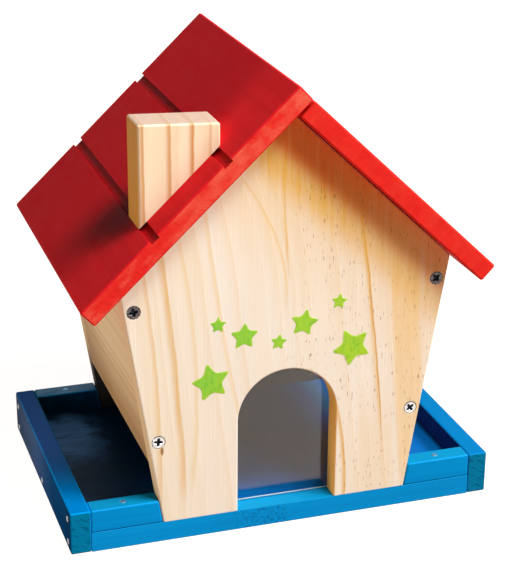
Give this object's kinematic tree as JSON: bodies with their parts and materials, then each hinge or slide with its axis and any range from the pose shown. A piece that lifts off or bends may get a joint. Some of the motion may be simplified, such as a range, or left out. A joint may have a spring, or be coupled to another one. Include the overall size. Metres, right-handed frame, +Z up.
{
  "type": "hopper bird feeder",
  "caption": "House-shaped wooden bird feeder: a seed hopper with a lift-up roof panel, a clear doorway pane and open slots that feed a railed tray.",
  "frame": {"origin": "centre of the underside of the base board, on the surface that the feeder stands on", "axes": "+Z up; -Y is the front, the gable with the doorway; +X to the right seen from the front, the side of the lid"},
  "size_m": [0.2212, 0.1624, 0.2278],
  "materials": {
    "blue_paint": "satin blue paint on softwood",
    "red_paint": "satin red paint on softwood",
    "pine": "planed bare pine",
    "clear_sheet": "clear acrylic sheet",
    "zinc": "bright zinc-plated steel",
    "brass": "plain brass"
  },
  "bodies": {
    "house": {"base_board": "blue_paint", "left_rail": "blue_paint", "right_rail": "blue_paint", "front_left_rail": "blue_paint", "front_right_rail": "blue_paint", "back_left_rail": "blue_paint", "back_right_rail": "blue_paint", "left_rail_nails": "zinc", "right_rail_nails": "zinc", "short_rail_nails": "zinc", "front_panel": "pine", "back_panel": "pine", "base_screws": "zinc", "left_wall": "pine", "right_wall": "pine", "front_wall_screws": "zinc", "back_wall_screws": "zinc", "window_pane": "clear_sheet", "window_screws": "zinc", "left_roof_panel": "red_paint", "left_roof_nails": "zinc", "chimney": "pine", "chimney_screws": "zinc", "fixed_leaf_screws": "brass", "front_hinge_fixed_leaf": "brass", "front_hinge_pin": "brass", "back_hinge_fixed_leaf": "brass", "back_hinge_pin": "brass"},
    "lid": {"right_roof_panel": "red_paint", "front_hinge_lid_leaf": "brass", "back_hinge_lid_leaf": "brass", "lid_leaf_screws": "brass"}
  },
  "joints": [
    {"name": "lid_hinge", "type": "hinge", "parent": "house", "child": "lid", "pos_m": [0.00798, 0, 0.22068], "axis": [0, -1, 0], "range_deg": [0, 165]}
  ]
}
